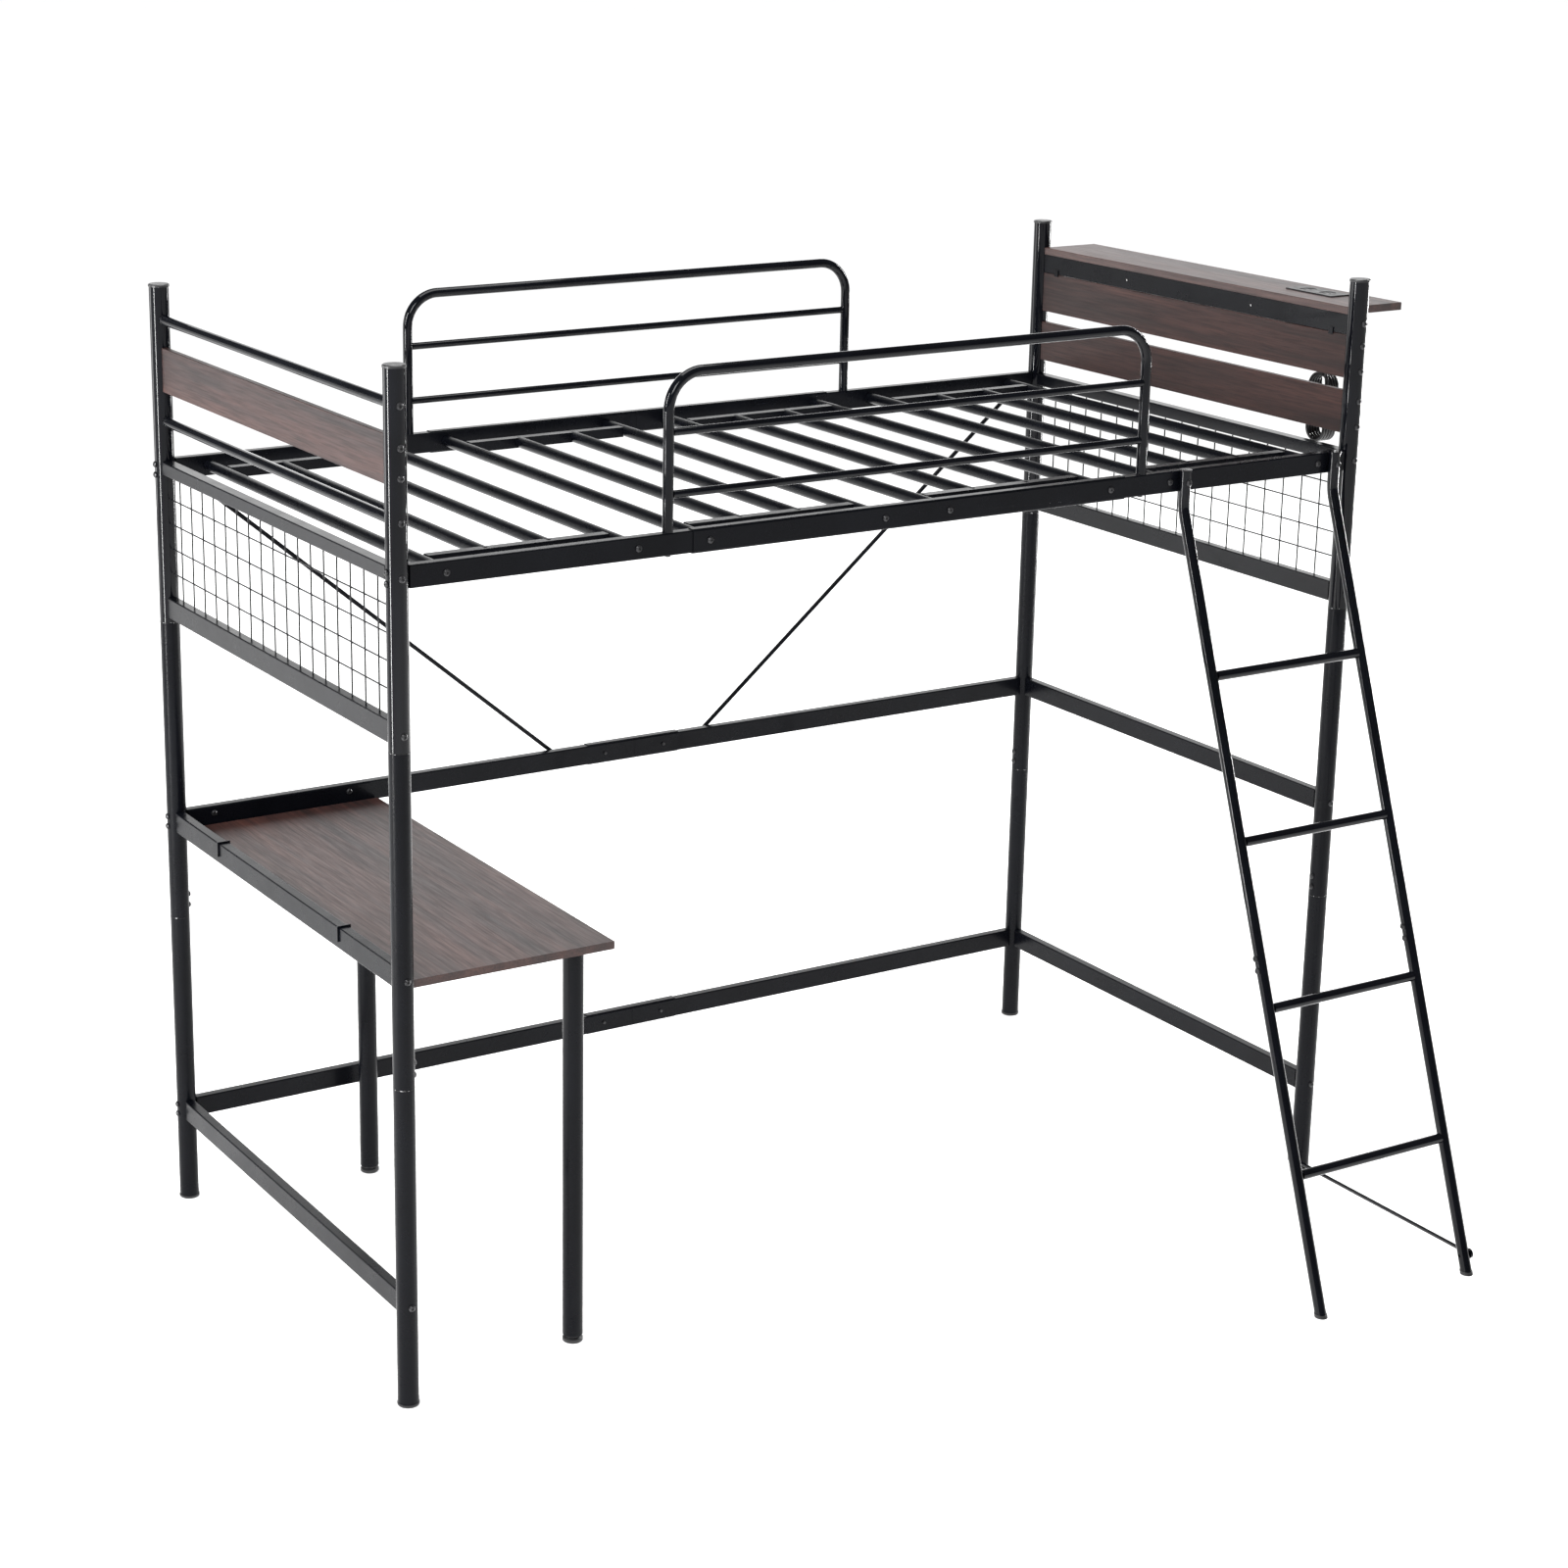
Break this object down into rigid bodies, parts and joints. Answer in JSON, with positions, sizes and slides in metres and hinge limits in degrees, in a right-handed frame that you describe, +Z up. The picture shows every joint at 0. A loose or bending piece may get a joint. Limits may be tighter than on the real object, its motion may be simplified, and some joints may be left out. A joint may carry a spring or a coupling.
{
  "type": "loft bed with desk",
  "caption": "Tall metal bed frame with a desk under one end, a leaning ladder, guard rails and a head end shelf with a power outlet.",
  "frame": {"origin": "middle of the object's footprint, on the floor", "axes": "+X from the foot end with the desk to the head end with the shelf, +Y from the ladder side to the back, +Z up"},
  "size_m": [2.2126, 1.5752, 1.85],
  "materials": {
    "steel_coat": "black powder coat, satin to gloss",
    "walnut_laminate": "dark walnut printed laminate, satin, straight fine grain",
    "black_plastic": "moulded black plastic",
    "outlet_plastic": "fine textured black plastic",
    "cord_jacket": "smooth black flexible jacket",
    "bolt_steel": "black finished steel, satin"
  },
  "bodies": {
    "frame": {"post_fl_lower": "steel_coat", "post_fl_middle": "steel_coat", "post_fl_upper": "steel_coat", "post_bl_lower": "steel_coat", "post_bl_middle": "steel_coat", "post_bl_upper": "steel_coat", "post_fr_lower": "steel_coat", "post_fr_middle": "steel_coat", "post_fr_upper": "steel_coat", "post_br_lower": "steel_coat", "post_br_middle": "steel_coat", "post_br_upper": "steel_coat", "post_top_caps": "black_plastic", "post_foot_caps": "black_plastic", "foot_tubes": "steel_coat", "foot_board": "walnut_laminate", "foot_mesh_panel": "steel_coat", "foot_mid_rail": "steel_coat", "foot_low_rail": "steel_coat", "shelf_board": "walnut_laminate", "shelf_apron": "steel_coat", "head_board_upper": "walnut_laminate", "head_board_lower": "walnut_laminate", "head_mesh_panel": "steel_coat", "head_mid_rail": "steel_coat", "head_low_rail": "steel_coat", "front_bed_rails": "steel_coat", "back_bed_rails": "steel_coat", "back_mid_rails": "steel_coat", "back_low_rails": "steel_coat", "bed_rail_channels": "steel_coat", "back_rail_channels": "steel_coat", "slat_panel_1": "steel_coat", "slat_panel_2": "steel_coat", "slat_panel_3": "steel_coat", "slat_panel_4": "steel_coat", "front_guard": "steel_coat", "back_guard": "steel_coat", "back_braces": "steel_coat", "desk_top": "walnut_laminate", "desk_cleat": "steel_coat", "desk_hooks": "steel_coat", "desk_leg_front": "steel_coat", "desk_leg_back": "steel_coat", "ladder_upper": "steel_coat", "ladder_lower": "steel_coat", "ladder_feet": "black_plastic", "ladder_stay": "steel_coat", "outlet_unit": "outlet_plastic", "strain_relief": "outlet_plastic", "power_cord": "cord_jacket", "cord_hank": "cord_jacket", "cord_tie": "outlet_plastic", "power_plug": "outlet_plastic", "post_bolts": "bolt_steel", "rail_bolts": "bolt_steel"},
    "front_stud": {"foot_stud_front": "bolt_steel"},
    "front_pad": {"foot_pad_front": "black_plastic"},
    "back_stud": {"foot_stud_back": "bolt_steel"},
    "back_pad": {"foot_pad_back": "black_plastic"}
  },
  "joints": [
    {"name": "front_foot_height", "type": "slide", "parent": "frame", "child": "front_stud", "axis": [0, 0, -1], "range_m": [-0.002, 0.012]},
    {"name": "front_foot_turn", "type": "hinge", "parent": "front_stud", "child": "front_pad", "pos_m": [-0.71375, -0.16537, 0], "axis": [0, 0, -1], "range_deg": [-580, 3460]},
    {"name": "back_foot_height", "type": "slide", "parent": "frame", "child": "back_stud", "axis": [0, 0, -1], "range_m": [-0.002, 0.012]},
    {"name": "back_foot_turn", "type": "hinge", "parent": "back_stud", "child": "back_pad", "pos_m": [-0.71375, 0.69563, 0], "axis": [0, 0, -1], "range_deg": [-580, 3460]}
  ],
  "couplings": [
    {"joint": "front_foot_turn", "follows": "front_foot_height", "rad_per_m": 5026.5},
    {"joint": "back_foot_turn", "follows": "back_foot_height", "rad_per_m": 5026.5}
  ]
}
